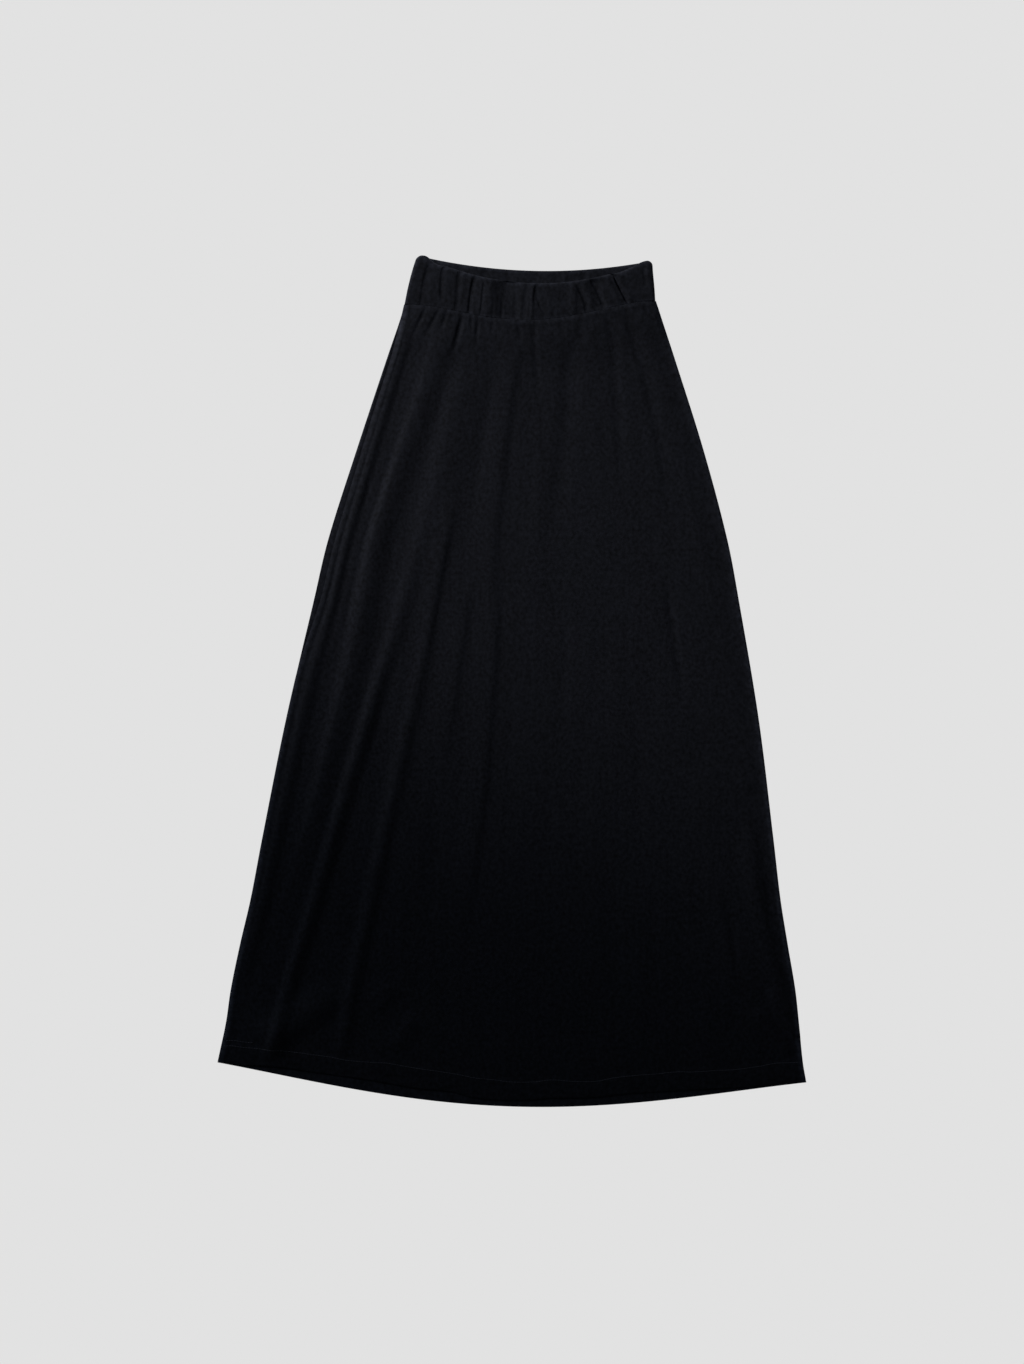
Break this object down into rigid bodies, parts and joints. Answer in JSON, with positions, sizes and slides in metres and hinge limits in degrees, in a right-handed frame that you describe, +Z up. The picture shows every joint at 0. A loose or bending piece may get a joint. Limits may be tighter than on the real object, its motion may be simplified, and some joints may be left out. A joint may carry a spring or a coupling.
{
  "type": "maxi skirt",
  "caption": "Long A-line jersey skirt laid flat, front side up, with a gathered elastic waistband, soft folds down one side and a turned-up hem that dips in the middle.",
  "frame": {"origin": "on the surface the skirt lies on, below the middle of its outline", "axes": "+X across the skirt to the right as seen from above with the waist at the far end, +Y from the hem to the waist, +Z up, out of the front of the skirt"},
  "size_m": [0.7068, 1.0222, 0.0113],
  "materials": {
    "jersey": "matt black single jersey, very slightly blue, with a faint soft sheen"
  },
  "bodies": {
    "root": {"skirt_back": "jersey", "skirt_front": "jersey", "waistband_back": "jersey", "waistband_front": "jersey"}
  },
  "joints": []
}
